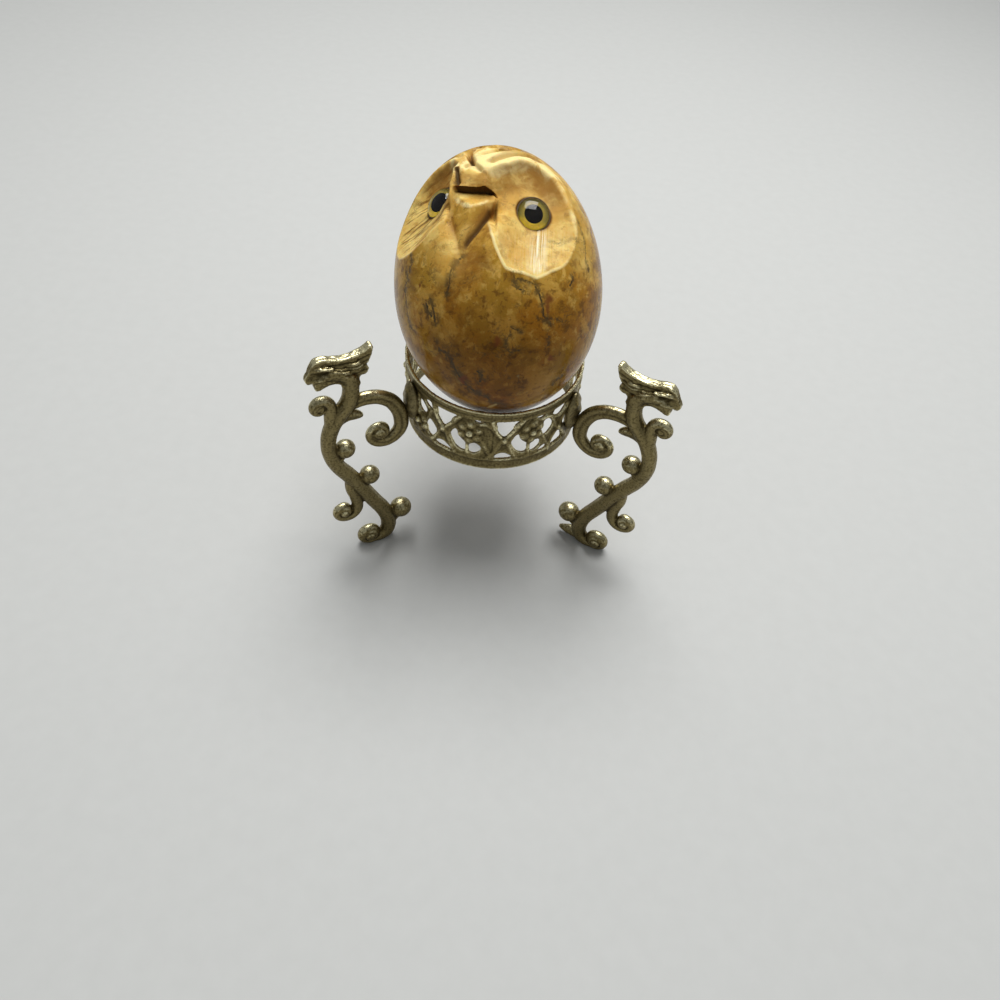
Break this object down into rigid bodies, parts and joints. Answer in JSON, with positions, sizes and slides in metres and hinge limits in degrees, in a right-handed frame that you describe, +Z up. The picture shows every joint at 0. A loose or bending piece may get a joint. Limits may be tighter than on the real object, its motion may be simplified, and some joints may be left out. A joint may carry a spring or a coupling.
{
  "type": "owl figurine on an egg stand",
  "caption": "Egg-shaped carved alabaster owl with inset glass eyes, resting loose in a pierced brass ring carried by cast dragon-head legs.",
  "frame": {"origin": "centre of the bounding box on the surface that the feet stand on", "axes": "+Z up, -Y towards the front, where the owl's face looks, +X to the viewer's right"},
  "size_m": [0.0726, 0.0638, 0.0877],
  "materials": {
    "alabaster": "polished honey alabaster with dark veins, duller on the carved faces",
    "antique_brass": "antiqued cast brass, olive brown in the hollows and bright on the worn tops",
    "solder": "smooth solder under the same antiqued plating",
    "eye_glass": "clear polished dome",
    "iris_paint": "amber to olive paint behind the glass",
    "pupil_paint": "black paint behind the glass",
    "eye_cement": "dark brown setting cement"
  },
  "bodies": {
    "stand": {"gallery_ring": "antique_brass", "left_leg": "antique_brass", "left_leg_solder": "solder", "right_leg": "antique_brass", "right_leg_solder": "solder", "back_leg": "antique_brass", "back_leg_solder": "solder"},
    "owl": {"owl_body": "alabaster", "left_eye_cement": "eye_cement", "left_eye_iris": "iris_paint", "left_eye_pupil": "pupil_paint", "left_eye_glass": "eye_glass", "right_eye_cement": "eye_cement", "right_eye_iris": "iris_paint", "right_eye_pupil": "pupil_paint", "right_eye_glass": "eye_glass"}
  },
  "joints": [
    {"name": "owl_lift", "type": "slide", "parent": "stand", "child": "owl", "axis": [0, 0, 1], "range_m": [0, 0.06]}
  ]
}
